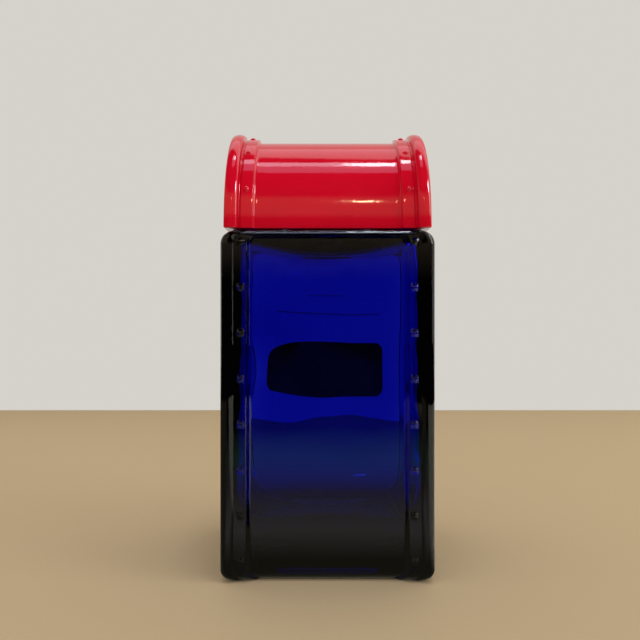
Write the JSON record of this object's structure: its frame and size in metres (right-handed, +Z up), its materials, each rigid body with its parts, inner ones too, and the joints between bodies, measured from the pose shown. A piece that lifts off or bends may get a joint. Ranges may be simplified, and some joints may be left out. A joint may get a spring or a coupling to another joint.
{
  "type": "mailbox-shaped decanter",
  "caption": "Square blue glass decanter in the shape of a street mailbox, with riveted posts at its front corners and a red barrel-roofed cap that unscrews from the neck.",
  "frame": {"origin": "centre of the bottle's base, on the surface that it stands on", "axes": "+Z up along the neck and the cap's screw; the riveted front looks along -Y, and the labelled face along +Y; the cap's barrel roof runs along X"},
  "size_m": [0.05, 0.048, 0.1095],
  "materials": {
    "blue_glass": "fire-polished moulded cobalt glass",
    "label_film": "bare dark label film",
    "red_plastic": "glossy moulded red",
    "white_plastic": "satin moulded polypropylene",
    "liner_foam": "foamed polyethylene"
  },
  "bodies": {
    "bottle": {"glass_bottle": "blue_glass", "back_label": "label_film"},
    "liner": {"sealing_liner": "liner_foam"},
    "cap": {"cap_shell": "red_plastic", "screw_closure": "white_plastic"}
  },
  "joints": [
    {"name": "cap_lift", "type": "slide", "parent": "bottle", "child": "liner", "axis": [0, 0, 1], "range_m": [0, 0.00715]},
    {"name": "cap_turn", "type": "hinge", "parent": "liner", "child": "cap", "pos_m": [0, 0, 0.0862], "axis": [0, 0, 1], "range_deg": [0, 810]}
  ],
  "couplings": [
    {"joint": "cap_lift", "follows": "cap_turn", "m_per_rad": 0.00050532}
  ]
}
